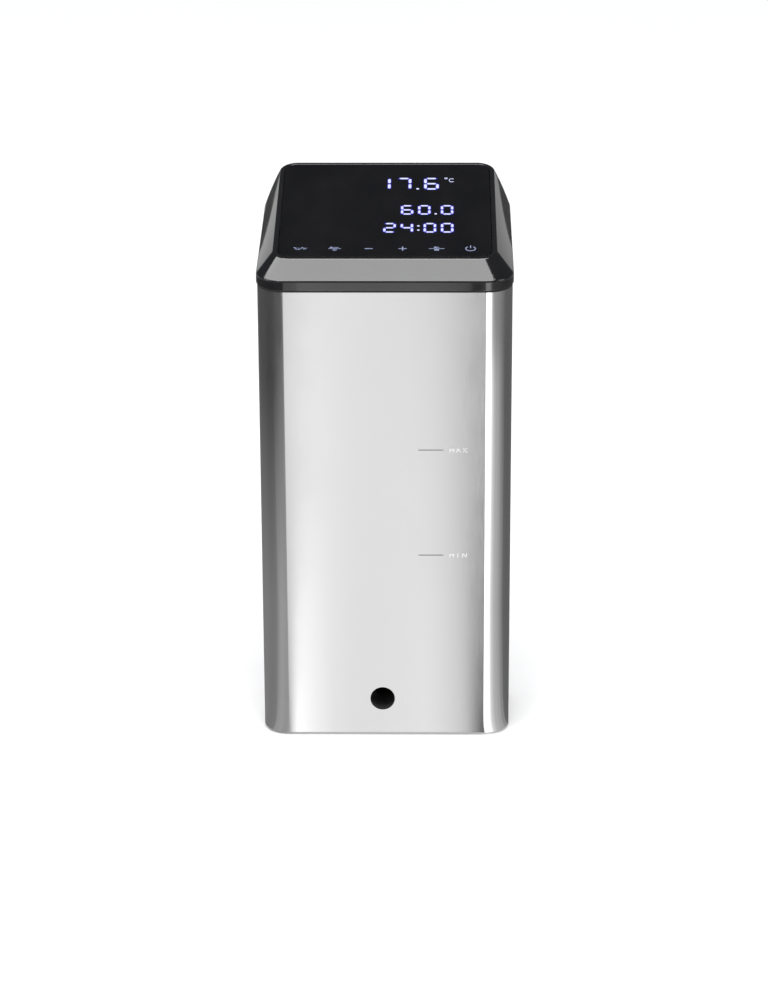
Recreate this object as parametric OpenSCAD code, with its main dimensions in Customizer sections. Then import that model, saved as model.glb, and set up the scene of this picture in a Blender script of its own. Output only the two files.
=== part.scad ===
// Sous vide circulator: a box-shaped immersion circulator that clamps over a tank's rear wall.
// Origin: middle of the clamp's rim seat. +Z is up, +X is to the user's right, the front faces -Y.

/* [Sleeve] */
// Width of the stainless sleeve
sleeve_w = 138.6; // [136:0.2:144]
// Depth of the sleeve, front to back
sleeve_d = 68; // [66:1:76]
// Height of the sleeve's front, from its lower edge to the head
sleeve_h = 261.4; // [255:0.2:275]
// Outside radius of the sleeve's corners
sleeve_r = 14.5; // [12:0.5:16]
// Sheet thickness of the sleeve
sleeve_t = 1.2; // [1:0.1:1.5]
// Height of the highest water level line
max_h = 170.2; // [165:0.2:172]
// Height of the lowest water level line
min_h = 108.1; // [90:0.1:130]

/* [Head] */
// Width of the head
head_w = 139.8; // [139.4:0.2:150]
// Depth of the head, which overhangs the sleeve at the back
head_d = 139; // [135:1:150]
// Outside radius of the head's corners
head_r = 15.6; // [14:0.2:18]
// Wall thickness of the head's moulding
head_wall = 2.4; // [2:0.1:3]
// Height of the upright band round the head's lower edge
band_h = 5.5; // [5:0.1:8]
// Width of the chamfer round the head's top
chamfer_in = 9.4; // [8:0.2:12]
// Height of the chamfer at the front
chamfer_h = 10.1; // [9:0.1:13]
// Slope of the head's lower edge, rising to the back, in degrees
base_tilt = 3; // [2:0.5:4]
// Slope of the top, rising to the back, in degrees
top_tilt = 9.5; // [8:0.5:11]

/* [Touch panel] */
// Width of the rim between the glass and the chamfer
glass_rim = 2.7; // [2:0.1:4]
// Thickness of the glass
glass_t = 2; // [1.5:0.1:2.2]
// Spacing of the six touch keys
key_pitch = 18.4; // [16:0.1:18.8]

/* [Clamp] */
// Height of the rim seat above the sleeve's lower edge
seat_h = 173.5; // [172:0.5:176]
// Width of the slot that takes the tank's wall
slot_d = 28; // [26:1:30]
// Thickness of the bracket's plate
plate_t = 3; // [2.5:0.5:4]
// Width of the bracket
plate_w = 56; // [48:1:64]
// Drop of the bracket's outer leg below the seat
leg_h = 44; // [40:1:50]
// Gap left for the wall as drawn
jaw_gap = 14; // [13:0.5:16]
// Radius of the clamp's screw
spindle_r = 4; // [3:0.5:5]

/* [Pump] */
// Height of the outlet above the sleeve's lower edge
outlet_h = 21; // [20:0.5:24]
// Outlet's distance from the middle of the front
outlet_x = -2; // [-6:1:2]
// Radius of the outlet
outlet_r = 6.9; // [5:0.1:7]
// Shaft's distance from the middle
shaft_x = 14; // [12:1:16]
// Radius of the drive shaft
shaft_r = 3; // [2.5:0.5:3.5]
// Radius of the impeller
impeller_r = 19; // [15:1:20]

/* [Hidden] */
$fn = 64;
// clearances: between pieces of one body, round a running shaft, and between still pieces that slip together
touch = 0.05;
running = 0.05;
slip = 0.3;
far = 400;

z_base = -seat_h;
y_back = -(slot_d / 2 + plate_t);
y_front = y_back - sleeve_d;
y_mid = (y_front + y_back) / 2;
y_head = y_front - (head_w - sleeve_w) / 2;
y_inner_back = y_back - sleeve_t;
y_inner_front = y_front + sleeve_t;
z_seam = z_base + sleeve_h;
base_slope = tan(base_tilt);
top_slope = tan(top_tilt);
base_t = 2.4;
gasket_t = 0.8;
collar_h = 12;
collar_t = 2.2;

// top flat of the head: its corner radius, its length up the slope and its height over the head's front foot
flat_r = 10;
flat_w = head_w - 2 * chamfer_in;
flat_len = (head_d - 2 * chamfer_in) / cos(top_tilt);
flat_z = band_h + chamfer_h - chamfer_in * top_slope;
bond_t = 0.4;
ledge_t = 2;
window_in = 9;
roof_t = glass_t + bond_t + ledge_t;
glass_w = flat_w - 2 * glass_rim;
glass_len = flat_len - 2 * glass_rim;
mark_t = 0.12;

// head screws: two in the sleeve's front corners and four in the overhang
boss_x = head_w / 2 - 13;
boss_y = [y_head + 12.4, y_back + 9, y_head + head_d - 13.2];
// cord gland in the overhang's right rear corner
gland_x = 40;
gland_y = y_head + head_d - 24;
z_gland = z_seam + (gland_y - y_head) * base_slope - 1.8;
cord_r = 3.9;

// bulkhead between the wet and the dry part
bulk_t = 3;
z_bulk = z_base + max_h + 5.8;
z_dry = z_bulk + bulk_t;
seal_w = 2;
flange_top = z_dry + 56;
flange_x = -54;
flange_w = 86;
bracket_top = 60;
bracket_screws_x = 18;
bracket_screws_z = [16, 48];
rod_off = 21.5;
rod_r = 2.5;
// three rods: the fourth corner is left open for the outlet
rods = [[1, 1], [1, -1], [-1, 1]];
heater_r = 4;
bend_r = 6.8;
long_heater_x = -59;
short_heater_x = 46;
heater_ends = [long_heater_x, long_heater_x + 6 * bend_r, short_heater_x, short_heater_x + 2 * bend_r];
heater_bottom = z_base + 56;
temp_at = [-30, y_front + 13];
level_at = [[46, y_back - 12], [58, y_back - 12]];

// motor
motor_r = 24;
motor_h = 42;
bearing_r = 9.5;
bearing_w = 6;
shaft_top = z_dry + motor_h + 18;
fan_z = z_dry + motor_h + 8;
z_joint = z_bulk - 13;

// pump, from below: housing, its square flange, cover
pump_wall = 2.5;
stub_wall = 1.5;
chamber_h = 2 * (outlet_r + stub_wall) + 0.2;
z_outlet = z_base + outlet_h;
z_chamber = z_outlet - chamber_h / 2;
z_cover = z_chamber + chamber_h;
chamber_r = impeller_r + 4;
pump_w = 53;
stub_end = y_front + 7;

// base plate
base_plate_t = 1.5;
base_screw_x = 45;
base_screw_y = [y_front + 8, y_back - 8];

// clamp: everything on the screw's axis is placed from the jaw's face
z_screw = -24;
y_jaw = -slot_d / 2 + jaw_gap;
pad_t = 2.5;
cup_t = 4.5;
jaw_r = 11;
boss_len = 8;
close_travel = jaw_gap - 2;
y_boss_end = slot_d / 2 + plate_t + boss_len;
y_knob = y_boss_end + close_travel + 0.5;
knob_t = 16;

// power board in the dry part, left of the motor
board_x = [-60, -14];
board_z = [z_dry + 18, z_dry + 68];
y_sink = y_inner_back - slip - 2 - touch;
sink_t = 2.4;
y_board = y_sink - sink_t - 5;
pcb_t = 1.6;
y_parts = y_board - pcb_t - touch;

// ---- shared shapes ----

// Rectangle with round corners, centred
module rounded(w, d, r) {
  square([w - 2 * r, d], center = true);
  square([w, d - 2 * r], center = true);
  for (x = [-1, 1], y = [-1, 1]) translate([x * (w / 2 - r), y * (d / 2 - r)]) circle(r);
}

// The sleeve's outline in plan, moved inwards by inset
module sleeve_outline(inset) {
  translate([0, y_mid]) rounded(sleeve_w - 2 * inset, sleeve_d - 2 * inset, sleeve_r - inset);
}

// The head's outline in plan, moved inwards by inset
module head_outline(inset) {
  translate([0, y_head + head_d / 2]) rounded(head_w - 2 * inset, head_d - 2 * inset, head_r - inset);
}

// Slab between two heights over the sloping plane of the head's lower edge
module seam_slab(low, high) {
  translate([0, y_head, z_seam])
    rotate([base_tilt, 0, 0])
      translate([-far / 2, -far / 2, low]) cube([far, far, high - low]);
}

// Height of the seam's plane at y
function seam_z(y) = z_seam + (y - y_head) * base_slope;

// Places children in the top's own plane: x across, y up the slope from the flat's middle, z outwards
module on_top() {
  translate([0, y_head + chamfer_in, z_seam + band_h + chamfer_h])
    rotate([top_tilt, 0, 0])
      translate([0, flat_len / 2, 0]) children();
}

// One sloping layer of the head's hull, of height h up to z
module head_layer(inset, r, z, h, slope) {
  multmatrix([[1, 0, 0, 0], [0, 1, 0, y_head], [0, slope, 1, z_seam + z], [0, 0, 0, 1]])
    translate([0, head_d / 2, -h])
      linear_extrude(h) rounded(head_w - 2 * inset, head_d - 2 * inset, r, $fn = 72);
}

// Round bar along +Y
module bar_y(r, length) {
  rotate([-90, 0, 0]) cylinder(r = r, h = length);
}

// Ring along +Z
module ring(outer, inner, h) {
  difference() {
    cylinder(r = outer, h = h);
    translate([0, 0, -1]) cylinder(r = inner, h = h + 2);
  }
}

// Hexagonal nut along +Z
module hex_nut(flats, inner, h) {
  difference() {
    cylinder(d = flats / cos(30), h = h, $fn = 6);
    translate([0, 0, -1]) cylinder(r = inner, h = h + 2);
  }
}

// Pan-head screw: the head's seat at z = 0, its shank along +Z
module pan_screw(head, head_h, shank, length) {
  difference() {
    union() {
      translate([0, 0, -head_h]) cylinder(r = head, h = head_h);
      cylinder(r = shank, h = length);
    }
    for (turn = [0, 90])
      rotate(turn) translate([0, 0, -head_h]) cube([head * 1.2, 0.6, head_h], center = true);
  }
}

// Slot with round ends, along y
module slot(w, length) {
  translate([-w / 2, -(length - w) / 2]) square([w, length - w]);
  for (end = [-1, 1]) translate([0, end * (length - w) / 2]) circle(w / 2);
}

module at_shaft(z) {
  translate([shaft_x, y_mid, z]) children();
}

module at_rods() {
  for (p = rods) translate([p[0] * rod_off, p[1] * rod_off, 0]) children();
}

module at_motor_screws() {
  for (x = [-12.5, 12.5], y = [-12.5, 12.5]) translate([x, y, 0]) children();
}

// ---- sleeve and base ----

module sleeve() {
  line_x = 18.2;
  line_size = [13.7, 0.15, 0.7];
  color("silver") difference() {
    intersection() {
      translate([0, 0, z_base]) linear_extrude(sleeve_h + 20) sleeve_outline(0);
      seam_slab(-far, -gasket_t - touch);
    }
    translate([0, 0, z_base - 1]) linear_extrude(sleeve_h + 40) sleeve_outline(sleeve_t);
    translate([outlet_x, y_front - 1, z_outlet]) bar_y(outlet_r, sleeve_t + 5);
    for (h = [min_h, max_h])
      translate([line_x, y_front - 1 + line_size[1], z_base + h]) cube([line_size[0], 1, line_size[2]]);
    // intake slots low on the back, and two air holes under the bulkhead
    for (i = [-5:5])
      translate([i * 9, y_back + 1, z_base + 36]) rotate([90, 0, 0]) linear_extrude(sleeve_t + 3) slot(3, 30);
    for (x = [-48, 48]) translate([x, y_inner_back - 1, z_bulk - 7]) bar_y(2.5, sleeve_t + 3);
    for (x = [-1, 1], z = bracket_screws_z)
      translate([x * bracket_screws_x, y_inner_back - 1, z]) bar_y(2.6, sleeve_t + 3);
    for (x = [-48, 0, 48]) translate([x, y_inner_back - 1, z_seam - 5]) bar_y(1.8, sleeve_t + 3);
  }
}

module base_plate() {
  color("silver") translate([0, 0, z_base]) linear_extrude(base_plate_t) difference() {
    sleeve_outline(sleeve_t + slip);
    for (i = [-6:6]) translate([i * 8, y_mid]) slot(3.4, 36);
    for (x = [-1, 1], y = base_screw_y) translate([x * base_screw_x, y]) circle(1.7);
  }
}

module base_lugs() {
  size = [11, 12, 8];
  color("gainsboro") for (x = [-1, 1], side = [0, 1])
    difference() {
      translate([
        x * base_screw_x - size[0] / 2,
        side == 0 ? y_inner_front + touch : y_inner_back - touch - size[1],
        z_base + base_plate_t + touch
      ]) cube(size);
      translate([x * base_screw_x, base_screw_y[side], z_base]) cylinder(r = 1.55, h = 20);
    }
}

module base_screws() {
  dome_h = 1.4;
  dome_r = 2.7;
  ball_r = (dome_r * dome_r + dome_h * dome_h) / (2 * dome_h);
  color("silver") for (x = [-1, 1], y = base_screw_y)
    translate([x * base_screw_x, y, z_base - touch]) {
      intersection() {
        translate([0, 0, ball_r - dome_h]) sphere(ball_r);
        translate([-5, -5, -5]) cube([10, 10, 5]);
      }
      translate([0, 0, -0.2]) cylinder(r = 1.5, h = 8.2);
    }
}

module sleeve_gasket() {
  color("#202020") intersection() {
    translate([0, 0, z_seam - 20]) linear_extrude(60) difference() {
      sleeve_outline(0.2);
      sleeve_outline(sleeve_t);
    }
    seam_slab(-gasket_t, -touch);
  }
}

module sleeve_screws() {
  color("silver") for (x = [-48, 0, 48])
    translate([x, y_back + touch, z_seam - 5]) rotate([90, 0, 0]) pan_screw(3, 1.6, 1.5, 4.5);
}

// ---- head ----

module head_base() {
  color("#1c1c1e") difference() {
    union() {
      intersection() {
        translate([0, 0, z_seam - 10]) linear_extrude(60) head_outline(head_wall + 0.2);
        seam_slab(0, base_t);
      }
      intersection() {
        translate([0, 0, z_seam - collar_h]) linear_extrude(60) sleeve_outline(sleeve_t + slip);
        seam_slab(-far, 0);
      }
      translate([gland_x, gland_y, z_gland]) cylinder(r = 12.5, h = 5.2);
    }
    // inside of the collar, and the wiring opening above it
    intersection() {
      translate([0, 0, z_seam - collar_h - 1]) linear_extrude(60) sleeve_outline(sleeve_t + slip + collar_t);
      seam_slab(-far, 0);
    }
    translate([0, y_mid, z_seam - 5]) linear_extrude(30) rounded(92, 46, 6);
    // cooling slots in the overhang
    for (group = [-42, 2], i = [-2:2])
      translate([group + i * 7, y_back + 39, z_seam - 10]) linear_extrude(40) slot(3, 40);
    translate([gland_x, gland_y, z_gland - 1]) cylinder(r = 8.1, h = 10);
    for (x = [-boss_x, boss_x], y = boss_y) translate([x, y, z_seam - 5]) cylinder(r = 1.7, h = 30);
    for (x = [-48, 0, 48]) translate([x, y_inner_back - 5, z_seam - 5]) bar_y(1.55, 6);
  }
}

// Step of the cap's hollow: its walls are moved in by inset and its roof follows the chamfer there
module hollow_step(inset) {
  share = inset / chamfer_in;
  intersection() {
    translate([0, 0, z_seam - 4]) linear_extrude(60) head_outline(inset);
    translate([0, y_head + inset, z_seam + band_h + share * chamfer_h - 3])
      rotate([atan(base_slope + share * (top_slope - base_slope)), 0, 0])
        translate([-far / 2, -far / 2, -far]) cube([far, far, far]);
  }
}

module head_cap() {
  color("#101012") difference() {
    hull() {
      head_layer(0, head_r, band_h, band_h, base_slope);
      head_layer(chamfer_in, flat_r, flat_z, 2, top_slope);
    }
    difference() {
      union() {
        hollow_step(head_wall);
        hollow_step(6);
        intersection() {
          translate([0, y_head + head_d / 2, z_seam]) linear_extrude(60)
            rounded(head_w - 2 * chamfer_in - 2, head_d - 2 * chamfer_in - 2, flat_r - 1);
          on_top() translate([-far / 2, -far / 2, -roof_t - far]) cube([far, far, far]);
        }
      }
      for (x = [-boss_x, boss_x], y = boss_y)
        translate([x, y, seam_z(y) + base_t + slip]) cylinder(r = 3.6, h = 40);
    }
    on_top() {
      translate([0, 0, -glass_t - bond_t])
        linear_extrude(20) rounded(glass_w + 0.2, glass_len + 0.2, flat_r - glass_rim + 0.1);
      translate([0, 0, -20])
        linear_extrude(40) rounded(glass_w - 2 * window_in, glass_len - 2 * window_in, 3);
      for (x = [-1, 1], y = [-1, 1])
        translate([x * (glass_w / 2 - window_in + 2), y * (glass_len / 2 - window_in + 2), -6])
          cylinder(r = 0.85, h = 3);
    }
    for (x = [-boss_x, boss_x], y = boss_y)
      translate([x, y, seam_z(y)]) cylinder(r = 1.55, h = 9);
  }
}

module head_screws() {
  color("silver") for (x = [-boss_x, boss_x], y = boss_y)
    translate([x, y, seam_z(y) - 0.25]) pan_screw(2.8, 1.7, 1.5, 8.5);
}

module touch_glass() {
  color("#08080a") on_top() translate([0, 0, -glass_t])
    linear_extrude(glass_t) rounded(glass_w, glass_len, flat_r - glass_rim);
}

module glass_bond() {
  color("#303030") on_top() translate([0, 0, -glass_t - bond_t + 0.02])
    linear_extrude(bond_t - 0.04) difference() {
      rounded(glass_w - 1, glass_len - 1, flat_r - glass_rim);
      rounded(glass_w - 2 * window_in + 1, glass_len - 2 * window_in + 1, 3);
    }
}

// Which of the seven bars each figure lights: top, right pair, bottom, left pair from below, middle
BARS = [
  [1, 1, 1, 1, 1, 1, 0], [0, 1, 1, 0, 0, 0, 0], [1, 1, 0, 1, 1, 0, 1], [1, 1, 1, 1, 0, 0, 1],
  [0, 1, 1, 0, 0, 1, 1], [1, 0, 1, 1, 0, 1, 1], [1, 0, 1, 1, 1, 1, 1], [1, 1, 1, 0, 0, 0, 0],
  [1, 1, 1, 1, 1, 1, 1], [1, 1, 1, 1, 0, 1, 1]
];

// One pointed bar of a figure, centred, along x
module lit_bar(length, t) {
  half = length / 2;
  polygon([[-half, 0], [-half + t / 2, t / 2], [half - t / 2, t / 2],
           [half, 0], [half - t / 2, -t / 2], [-half + t / 2, -t / 2]]);
}

// Seven-bar figure with its right foot at the origin
module figure(value, w, h, t) {
  gap = t * 0.5;
  across = w - t - 2 * gap;
  down = (h - t) / 2 - 2 * gap;
  middle = [-w / 2, h / 2];
  // each bar: direction from the middle, in half widths and half heights, and whether it's upright
  places = [[0, 1, 0], [1, 0.5, 1], [1, -0.5, 1], [0, -1, 0], [-1, -0.5, 1], [-1, 0.5, 1], [0, 0, 0]];
  for (i = [0:6])
    if (BARS[value][i] == 1)
      translate(middle + [places[i][0] * (w - t) / 2, places[i][1] * (h - t) / 2])
        rotate(places[i][2] * 90) lit_bar(places[i][2] == 1 ? down : across, t);
}

// Row of figures with its right foot at the origin, and its separator before the figure numbered split
module figure_row(values, w, h, t, pitch, extra, split, dots) {
  count = len(values);
  for (i = [0:count - 1])
    translate([-(count - 1 - i) * pitch - (i < split ? extra : 0), 0]) figure(values[i], w, h, t);
  for (y = dots)
    translate([-(count - split) * pitch + (pitch - w - extra) / 2, y * h]) circle(t * 0.55, $fn = 24);
}

module display_digits() {
  color("#c8ccff") on_top() translate([0, -flat_len / 2, 0.02]) linear_extrude(mark_t) {
    translate([29.2, 85.9]) figure_row([1, 7, 6], 8.2, 15, 1.5, 11.6, 3.8, 2, [0.06]);
    translate([37.2, 54]) figure_row([6, 0, 0], 6.8, 11.6, 1.25, 9.5, 3.1, 2, [0.07]);
    translate([37.2, 31.6]) figure_row([2, 4, 0, 0], 6.8, 11.6, 1.25, 9.5, 3.1, 2, [0.25, 0.7]);
    // degree ring and C
    translate([33.3, 100.4]) arc_mark(0.7, 0.35, 0, 359);
    translate([36.5, 97.9]) scale([0.8, 1.15]) arc_mark(1.8, 0.4, 45, 315);
  }
}

// Arc of a ring from one angle to another
module arc_mark(r, t, from, to) {
  steps = 24;
  points = [for (i = [0:steps]) from + (to - from) * i / steps];
  polygon(concat(
    [for (a = points) (r + t / 2) * [cos(a), sin(a)]],
    [for (i = [steps:-1:0]) (r - t / 2) * [cos(points[i]), sin(points[i])]]
  ));
}

// Six keys in a row: unit, temperature over time, minus, plus, run over stop, power
module key_marks() {
  line = 0.35;
  color("#9aa6d8") on_top() translate([0.4, 11.9 - flat_len / 2, 0.02]) linear_extrude(mark_t) {
    translate([-2.5 * key_pitch, -0.2]) scale([1, 0.65]) {
      translate([-1.7, -0.2]) arc_mark(1.3, line, 45, 315);
      rotate(60) square([4.4, line], center = true);
      translate([1.5, -0.2]) unit_f(1.9, 2.8, line);
      for (x = [-3.4, 0.8]) translate([x, 1.9]) arc_mark(0.45, 0.3, 0, 359);
    }
    translate([-1.5 * key_pitch, 0]) {
      square([6.8, line], center = true);
      translate([-2, 1.4]) thermometer(line);
      translate([0, -1.5]) clock_mark(line);
    }
    translate([-0.5 * key_pitch, 0]) square([4.3, 0.7], center = true);
    translate([0.5 * key_pitch, 0]) {
      square([4.3, 0.7], center = true);
      square([0.7, 4.5], center = true);
    }
    translate([1.5 * key_pitch, 0]) {
      square([8.4, line], center = true);
      translate([0, 1.5]) polygon([[-1.4, -0.9], [-1.4, 0.9], [1.6, 0]]);
      translate([0, -1.5]) square([2.6, 1.6], center = true);
    }
    translate([2.5 * key_pitch, 0]) {
      arc_mark(2.6, 0.6, 125, 415);
      translate([0, 2.2]) square([0.6, 3], center = true);
    }
  }
}

// Plain letter F made of three strokes
module unit_f(w, h, t) {
  translate([0, -h / 2]) square([t, h]);
  translate([0, h / 2 - t]) square([w, t]);
  translate([0, -t / 2]) square([w * 0.75, t]);
}

// Thermometer on its side, with its bulb at the origin
module thermometer(t) {
  translate([0.5, -t / 2]) square([3.6, t]);
  circle(0.7, $fn = 24);
}

module clock_mark(t) {
  arc_mark(0.95, t * 0.8, 0, 359);
  translate([-t * 0.3, 0]) square([t * 0.6, 0.7]);
}

module display_board() {
  color("darkgreen") on_top() {
    hole = glass_w / 2 - window_in + 2;
    hole_y = glass_len / 2 - window_in + 2;
    translate([0, 0, -roof_t - touch - pcb_t]) linear_extrude(pcb_t) difference() {
      rounded(2 * hole + 4.4, 2 * hole_y + 4.4, 2);
      for (x = [-1, 1], y = [-1, 1]) translate([x * hole, y * hole_y]) circle(1.1);
    }
  }
}

// Lamp module behind the glass's figures, and the sensor pads behind the keys
module display_module() {
  z = -roof_t;
  module_t = bond_t + ledge_t - 2 * touch;
  color("#26262a") on_top() {
    translate([17, 7, z]) linear_extrude(module_t) rounded(62, 82, 1.5);
    for (i = [-2.5:2.5])
      translate([0.4 + i * key_pitch * 0.95, 17.5 - flat_len / 2, z]) cylinder(r = 3.6, h = module_t);
  }
}

module sounder() {
  color("#1a1a1a") on_top()
    translate([-34, 18, -roof_t - pcb_t - 2 * touch - 5]) difference() {
      cylinder(r = 6, h = 5);
      translate([0, 0, -1]) cylinder(r = 1, h = 3);
    }
}

module board_screws() {
  color("silver") on_top() for (x = [-1, 1], y = [-1, 1])
    translate([
      x * (glass_w / 2 - window_in + 2),
      y * (glass_len / 2 - window_in + 2),
      -roof_t - pcb_t - 2 * touch
    ]) pan_screw(1.7, 1.2, 0.8, 3);
}

// ---- cord gland ----

module cord_gland() {
  color("#1c1c1e") translate([gland_x, gland_y, z_gland - touch]) difference() {
    union() {
      translate([0, 0, -5]) cylinder(d = 20 / cos(30), h = 5, $fn = 6);
      cylinder(r = 7.9, h = 13);
      translate([0, 0, -13]) cylinder(r = 7.5, h = 8.2);
    }
    translate([0, 0, -14]) cylinder(r = 5.5, h = 28);
  }
}

module gland_cap() {
  color("#1c1c1e") translate([gland_x, gland_y, z_gland - 5.4]) difference() {
    union() {
      translate([0, 0, -8]) cylinder(d = 19 / cos(30), h = 8, $fn = 6);
      translate([0, 0, -12]) cylinder(r1 = 7, r2 = 9.2, h = 4.2);
    }
    translate([0, 0, -8.4]) cylinder(r = 7.6, h = 10);
    translate([0, 0, -13]) cylinder(r = 5, h = 10);
  }
}

module gland_seal() {
  color("#303030") translate([gland_x, gland_y, z_gland - 13.2]) ring(5.4, cord_r, 12);
}

module gland_nut() {
  color("#1c1c1e") translate([gland_x, gland_y, z_gland + 5.2 + touch]) hex_nut(22, 7.95, 5);
}

// ---- clamp ----

// Folded profile of the bracket, y across the page and z up it, with bend radii inside and outside
module bracket_profile() {
  y0 = y_back + touch;
  y1 = slot_d / 2;
  bend = 1.5;
  outer = bend + plate_t;
  // upright plate against the sleeve, ledge, outer leg
  translate([y0, outer]) square([plate_t, bracket_top - outer]);
  translate([y0 + outer, 0]) square([y1 + plate_t - outer - y0 - outer, plate_t]);
  translate([y1, -leg_h]) square([plate_t, leg_h + plate_t - outer]);
  translate([y0 + outer, outer]) quarter_bend(outer, bend, 180);
  translate([y1 + plate_t - outer, plate_t - outer]) quarter_bend(outer, bend, 0);
}

// Quarter of a ring, starting at an angle
module quarter_bend(outer, inner, start) {
  rotate(start) intersection() {
    difference() {
      circle(outer);
      circle(inner);
    }
    square(outer + 1);
  }
}

module clamp_bracket() {
  color("silver") difference() {
    rotate([90, 0, 90]) translate([0, 0, -plate_w / 2]) linear_extrude(plate_w) bracket_profile();
    for (x = [-1, 1], z = bracket_screws_z)
      translate([x * bracket_screws_x, y_back - 1, z]) bar_y(2.2, plate_t + 3);
    translate([0, slot_d / 2 - 1, z_screw]) bar_y(spindle_r + 1, plate_t + 2);
    // relieved corners of the outer leg
    for (x = [-1, 1])
      translate([x * plate_w / 2, slot_d / 2 - 2, -leg_h]) rotate([0, 45, 0]) cube(14, center = true);
  }
}

module bracket_screws() {
  color("silver") for (x = [-1, 1], z = bracket_screws_z)
    translate([x * bracket_screws_x, y_back + plate_t + 2 * touch, z])
      rotate([90, 0, 0]) pan_screw(4, 2.4, 2, 8);
}

module wall_strip() {
  color("#2a2a2a") difference() {
    translate([-24, y_back + touch, -leg_h + 2]) cube([48, plate_t - touch, leg_h - 5]);
    for (z = [-leg_h + 8:6:-8])
      translate([-25, -slot_d / 2 - 0.5, z]) cube([50, 1, 1.2]);
  }
}

module clamp_nut() {
  color("silver") translate([0, slot_d / 2 + plate_t, z_screw]) rotate([-90, 0, 0])
    translate([0, 0, touch]) ring(9, spindle_r + running, boss_len - touch);
}

module clamp_pad() {
  color("#2a2a2a") translate([0, y_jaw, z_screw]) bar_y(jaw_r, pad_t - touch);
}

module clamp_cup() {
  color("silver") translate([0, y_jaw + pad_t, z_screw]) difference() {
    union() {
      bar_y(jaw_r, 2);
      bar_y(7, cup_t);
    }
    translate([0, 1.2, 0]) bar_y(spindle_r - 1 + running, cup_t);
  }
}

module clamp_screw() {
  color("silver") translate([0, y_jaw + pad_t, z_screw]) {
    translate([0, 1.25, 0]) bar_y(spindle_r - 1, cup_t);
    translate([0, cup_t + 0.3, 0]) bar_y(spindle_r, y_knob + knob_t - 4 - y_jaw - pad_t - cup_t - 0.3);
  }
}

module clamp_knob() {
  lobes = 6;
  color("#1c1c1e") translate([0, y_knob, z_screw]) rotate([-90, 0, 0]) difference() {
    union() {
      cylinder(r = 9, h = knob_t);
      translate([0, 0, 3]) linear_extrude(knob_t - 4) union() {
        circle(14);
        for (i = [0:lobes - 1]) rotate(i * 360 / lobes) translate([13, 0]) circle(4.6);
      }
    }
    translate([0, 0, -1]) cylinder(r = spindle_r + 0.02, h = knob_t - 3 + 0.02);
    translate([0, 0, knob_t - 1]) cylinder(r = 6.5, h = 2);
  }
}

// ---- bulkhead and what hangs from it ----

module bulkhead() {
  color("gainsboro") difference() {
    union() {
      translate([0, 0, z_bulk]) linear_extrude(bulk_t) sleeve_outline(sleeve_t + seal_w + 2 * touch);
      // upright flange that takes the bracket's screws and carries the heat sink
      translate([flange_x, y_inner_back - slip - 2, z_dry - 1]) cube([flange_w, 2, flange_top - z_dry + 1]);
      translate([flange_x, y_inner_back - slip - 6, z_bulk]) cube([flange_w, 6, bulk_t]);
    }
    at_shaft(z_bulk - 1) cylinder(r = 9 + touch, h = bulk_t + 2);
    at_shaft(z_bulk - 1) {
      at_rods() cylinder(r = rod_r + 0.1, h = bulk_t + 2);
      at_motor_screws() cylinder(r = 2.2, h = bulk_t + 2);
    }
    for (x = heater_ends) translate([x, y_mid, z_bulk - 1]) cylinder(r = heater_r + 1.1, h = bulk_t + 2);
    translate([temp_at[0], temp_at[1], z_bulk - 1]) cylinder(r = 4.1, h = bulk_t + 2);
    for (p = level_at) translate([p[0], p[1], z_bulk - 1]) cylinder(r = 4.1, h = bulk_t + 2);
    for (x = [-1, 1], z = bracket_screws_z)
      translate([x * bracket_screws_x, y_inner_back - 5, z]) bar_y(2.05, 6);
  }
}

module bulkhead_seal() {
  color("#2a2a2a") translate([0, 0, z_bulk - 1.5]) linear_extrude(bulk_t + 1.4) difference() {
    sleeve_outline(sleeve_t + touch);
    sleeve_outline(sleeve_t + seal_w);
    translate([flange_x - 0.3, y_inner_back - 3]) square([flange_w + 0.6, 3]);
  }
}

module shaft_seal() {
  color("#2a2a2a") at_shaft(z_bulk - 1) ring(9, shaft_r + running, bulk_t + 0.9);
}

module support_rods() {
  foot = z_cover - pump_wall - 6;
  color("silver") at_shaft(foot) at_rods() cylinder(r = rod_r, h = z_dry + 6 - foot);
}

module rod_nuts() {
  h = 4;
  on_pump = [z_cover - pump_wall - touch - h, z_cover + pump_wall + 2 * touch];
  levels = concat(on_pump, [z_bulk - h - touch, z_dry + touch]);
  color("silver") for (z = levels) at_shaft(z) at_rods() hex_nut(7.4, rod_r + 0.02, h);
}

module pump_cover() {
  color("gainsboro") at_shaft(z_cover + touch) difference() {
    linear_extrude(pump_wall) rounded(pump_w, pump_w, 5);
    translate([0, 0, -1]) cylinder(r = 6, h = pump_wall + 2);
    translate([0, 0, -1]) at_rods() cylinder(r = rod_r + 0.1, h = 9);
  }
}

module lower_bush() {
  color("#d8d4c8") at_shaft(z_cover + touch) difference() {
    union() {
      cylinder(r = 6 - 0.02, h = pump_wall + 5);
      translate([0, 0, pump_wall + 0.02]) cylinder(r = 8.5, h = 2);
    }
    translate([0, 0, -1]) cylinder(r = shaft_r + running, h = 20);
  }
}

module pump_housing() {
  color("#3a3a3c") difference() {
    union() {
      at_shaft(z_chamber - pump_wall) cylinder(r = chamber_r + pump_wall, h = chamber_h + pump_wall);
      at_shaft(z_cover - pump_wall) linear_extrude(pump_wall) rounded(pump_w, pump_w, 5);
      translate([outlet_x, stub_end, z_outlet]) bar_y(outlet_r + stub_wall, y_mid - stub_end);
    }
    at_shaft(z_chamber) cylinder(r = chamber_r, h = chamber_h + 1);
    at_shaft(z_chamber - 5) cylinder(r = 9, h = 10);
    translate([outlet_x, stub_end - 1, z_outlet]) bar_y(outlet_r + 0.4, y_mid - stub_end + 1);
    at_shaft(z_cover - 8) at_rods() cylinder(r = rod_r + 0.1, h = 9);
  }
}

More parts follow.
